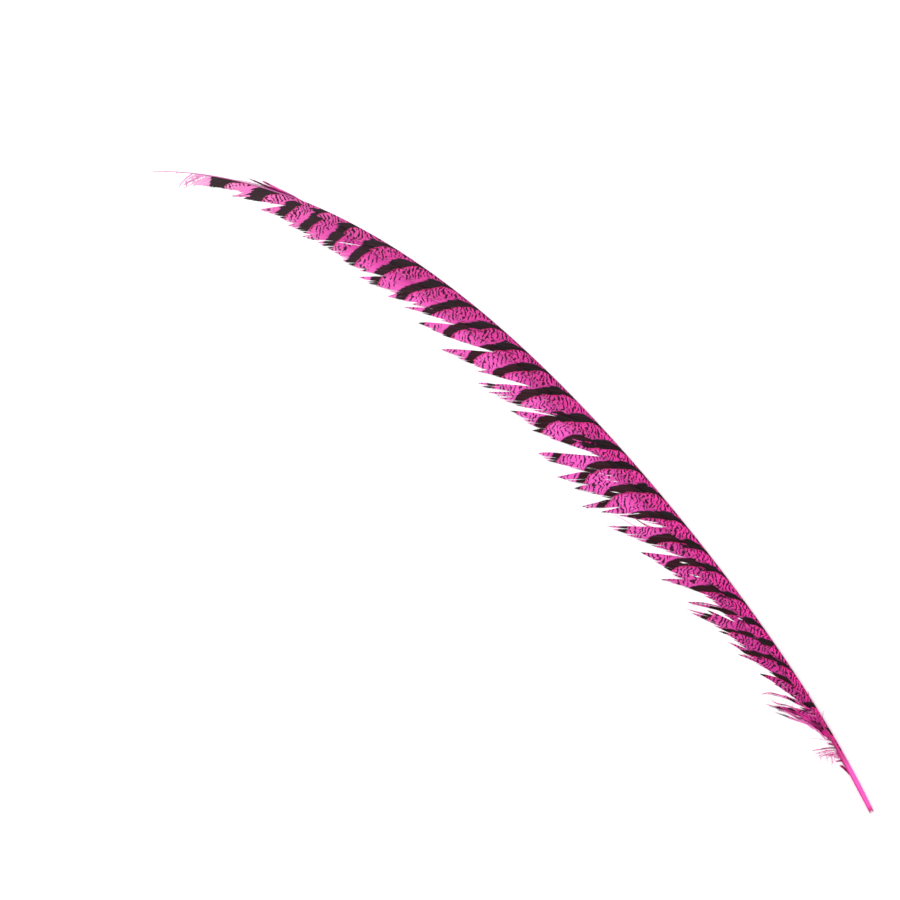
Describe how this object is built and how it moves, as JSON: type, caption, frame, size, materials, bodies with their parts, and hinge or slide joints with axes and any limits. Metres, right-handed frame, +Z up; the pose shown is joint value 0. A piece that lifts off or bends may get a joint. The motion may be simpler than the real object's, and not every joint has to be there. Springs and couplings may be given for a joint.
{
  "type": "pheasant tail feather",
  "caption": "Long, narrow dyed pheasant tail feather with dark cross bars, lying on its side: a bent tapering shaft, folded split vanes and a wisp of down.",
  "frame": {"origin": "on the surface the feather lies on, under the middle of its bounding box", "axes": "+Z up from the surface; the feather lies in XY with its tip towards -X and +Y and its cut end towards +X and -Y"},
  "size_m": [0.5765, 0.5134, 0.004],
  "materials": {
    "horn": "dyed horn, satin",
    "near_web": "dyed barbs with dark bars, doubled layer",
    "far_web": "dyed barbs with dark bars, single layer",
    "down": "tangled soft barbs"
  },
  "bodies": {
    "root": {"shaft": "horn", "near_vane": "near_web", "far_vane": "far_web", "down": "down"}
  },
  "joints": []
}
